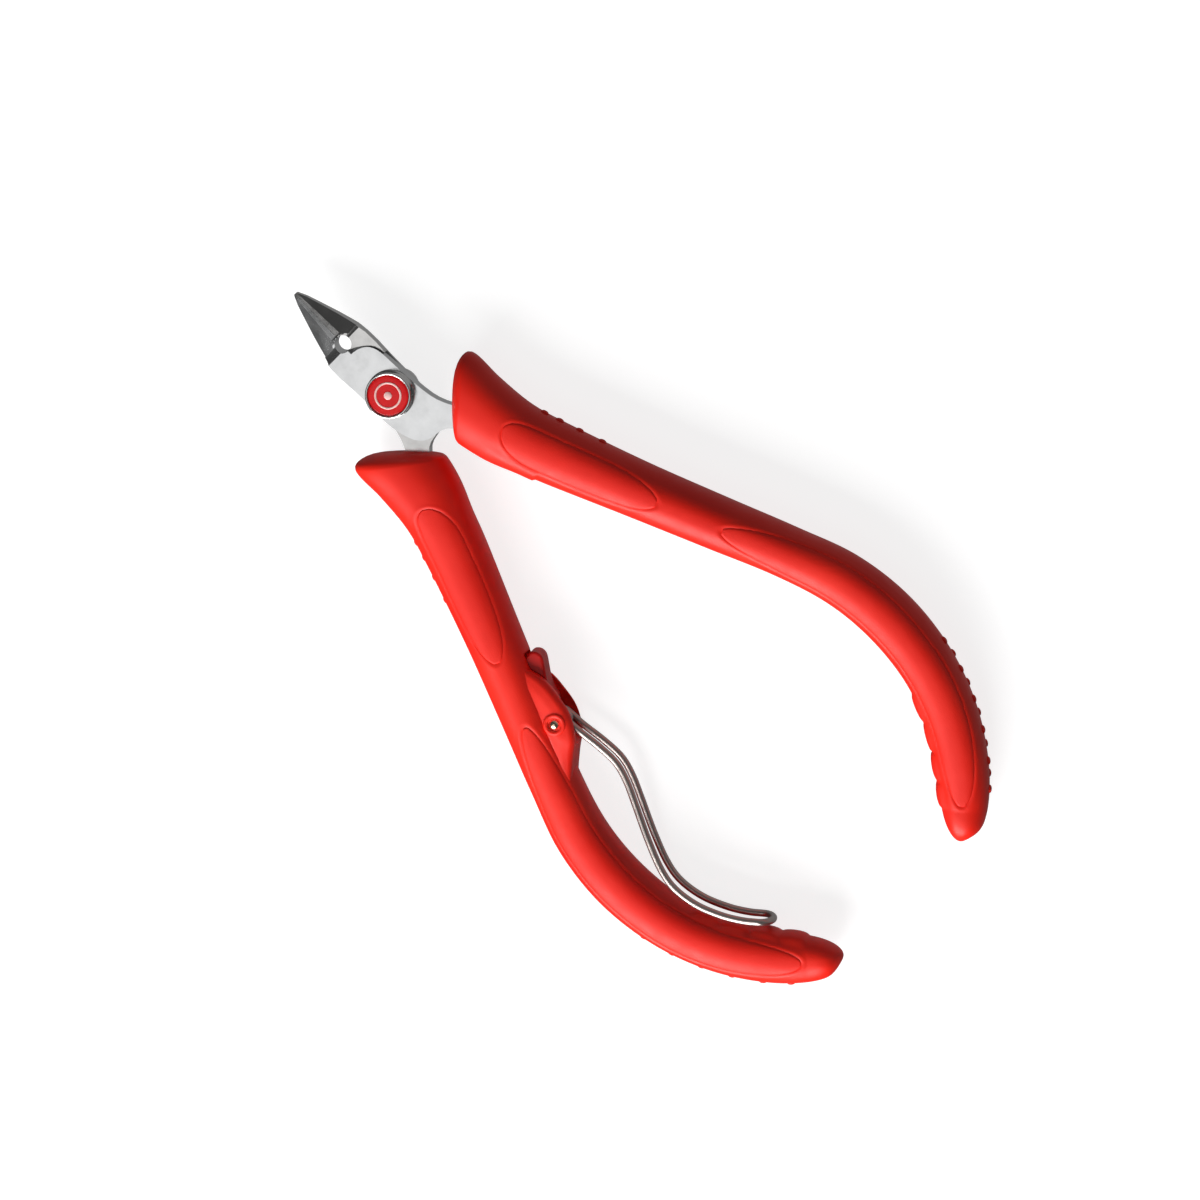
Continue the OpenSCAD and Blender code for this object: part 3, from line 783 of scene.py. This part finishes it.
# Outline of the catch in plan, from the thumb tab to its root by the pin
CATCH_EDGE = [(-41.85, 13.8), (-41.9, 13.0), (-42.4, 12.45), (-43.1, 12.25), (-43.9, 12.45), (-45.2, 13.35),
    (-46.6, 14.3), (-48.2, 15.0), (-49.4, 15.3), (-49.7, 16.1), (-49.3, 17.0), (-47.5, 16.7), (-45.2, 15.7),
    (-43.2, 15.0), (-42.1, 14.6)]
CATCH_HALF_T = 2.3
HUB_R = 1.75
HUB_HALF_T = 0.5
HUB_BORE_R = 0.74
catch = prism("rocking_spring_catch", closed_curve(CATCH_EDGE), MID_Z - CATCH_HALF_T, MID_Z + CATCH_HALF_T,
    smooth=True)
add_bevel(catch, 0.4, 4, 40)
finish_piece(catch, CATCH_RED, "catch", "catch_red", "spring_catch")
hub = prism("catch_hub", arc(PIN, HUB_R, 25, 285, 40) + [(-48.2, 15.6), (-48.2, 17.0)],
    MID_Z - HUB_HALF_T, MID_Z + HUB_HALF_T)
cut_away(hub, prism("pin_room", arc(PIN, HUB_BORE_R, 0, 351, 39), 0, 2*MID_Z))
finish_piece(hub, CATCH_RED, "catch", "catch_red")


# ---- floor, lights and camera ----------------------------------------------

CAMERA_DISTANCE = 1.1
TARGET = Vector((-43.7, 0.35, 5.0))*MM
TILT = math.radians(13.5)
ROLL = math.radians(0.86)
VIEW_WIDTH = 178.9*MM
SENSOR_W = 36
FLOOR_HALF_W = 1.5
FLOOR_DROP = 0.0003


def make_floor():
    """Pale floor that lights nothing and shows in no reflection, which keeps the walls dark."""
    mesh = bpy.data.meshes.new("floor")
    size = FLOOR_HALF_W
    corners = [(-size, -size, 0), (size, -size, 0), (size, size, 0), (-size, size, 0)]
    mesh.from_pydata(corners, [], [(0, 1, 2, 3)])
    obj = bpy.data.objects.new("floor", mesh)
    bpy.context.scene.collection.objects.link(obj)
    obj.location.z = -FLOOR_DROP
    mat, tree, shader = material("pale_floor")
    tree.links.new(ramp(tree, noise(tree, 3, 2), [(0.0, 0.34), (1.0, 0.36)]), shader.inputs["Base Color"])
    shader.inputs["Roughness"].default_value = 0.9
    shader.inputs["Specular IOR Level"].default_value = 0.1
    shader.inputs["Emission Color"].default_value = (1, 1, 1, 1)
    shader.inputs["Emission Strength"].default_value = 0.82
    mesh.materials.append(mat)
    obj.visible_diffuse = False
    obj.visible_glossy = False


def area_light(name, place, aim, size, power):
    data = bpy.data.lights.new(name, "AREA")
    data.shape = "RECTANGLE"
    data.size, data.size_y = size
    data.energy = power
    obj = bpy.data.objects.new(name, data)
    obj.location = place
    obj.rotation_euler = (Vector(aim) - Vector(place)).to_track_quat("-Z", "Y").to_euler()
    bpy.context.scene.collection.objects.link(obj)


def make_camera():
    """Camera above the part, tilted towards -Y, with +X-Y upwards in the picture."""
    data = bpy.data.cameras.new("camera")
    obj = bpy.data.objects.new("camera", data)
    bpy.context.scene.collection.objects.link(obj)
    back = Vector((0, -math.sin(TILT), math.cos(TILT)))
    up = Vector((1, -1, 0)).normalized()
    right = up.cross(back).normalized()
    up = back.cross(right)
    right, up = right*math.cos(ROLL) - up*math.sin(ROLL), up*math.cos(ROLL) + right*math.sin(ROLL)
    obj.matrix_world = Matrix((
        (right.x, up.x, back.x, 0), (right.y, up.y, back.y, 0), (right.z, up.z, back.z, 0), (0, 0, 0, 1)))
    obj.matrix_world.translation = TARGET + CAMERA_DISTANCE*back
    data.sensor_width = SENSOR_W
    data.lens = SENSOR_W*CAMERA_DISTANCE/VIEW_WIDTH
    data.clip_start = 0.05
    data.clip_end = 20
    bpy.context.scene.camera = obj


def studio_world():
    """Dim room light: darkest level with the part, brighter below and towards the key light's side."""
    world = bpy.data.worlds.new("studio")
    bpy.context.scene.world = world
    world.use_nodes = True
    tree = world.node_tree
    coords = tree.nodes.new("ShaderNodeTexCoord")
    dot = tree.nodes.new("ShaderNodeVectorMath")
    dot.operation = "DOT_PRODUCT"
    dot.inputs[1].default_value = Vector((-0.15, 0.9, 0.4)).normalized()
    tree.links.new(coords.outputs["Generated"], dot.inputs[0])
    half = tree.nodes.new("ShaderNodeMath")
    half.operation = "MULTIPLY_ADD"
    half.inputs[1].default_value = 0.5
    half.inputs[2].default_value = 0.5
    tree.links.new(dot.outputs["Value"], half.inputs[0])
    stops = [(0.0, 0.30), (0.3, 0.22), (0.48, 0.05), (0.9, 0.07), (1.0, 0.2)]
    light = ramp(tree, half.outputs["Value"], stops)
    tree.links.new(light, tree.nodes["Background"].inputs["Color"])
    tree.nodes["Background"].inputs["Strength"].default_value = 1.0


make_floor()
centre = (-0.045, 0, 0.005)
area_light("key", (-0.32, 0.60, 0.38), centre, (0.7, 0.6), 11.5)
area_light("top", (0.0, 0.24, 0.93), (0, 0, 0), (0.5, 0.36), 0.52)
make_camera()
studio_world()
bpy.context.scene.view_settings.view_transform = "Standard"
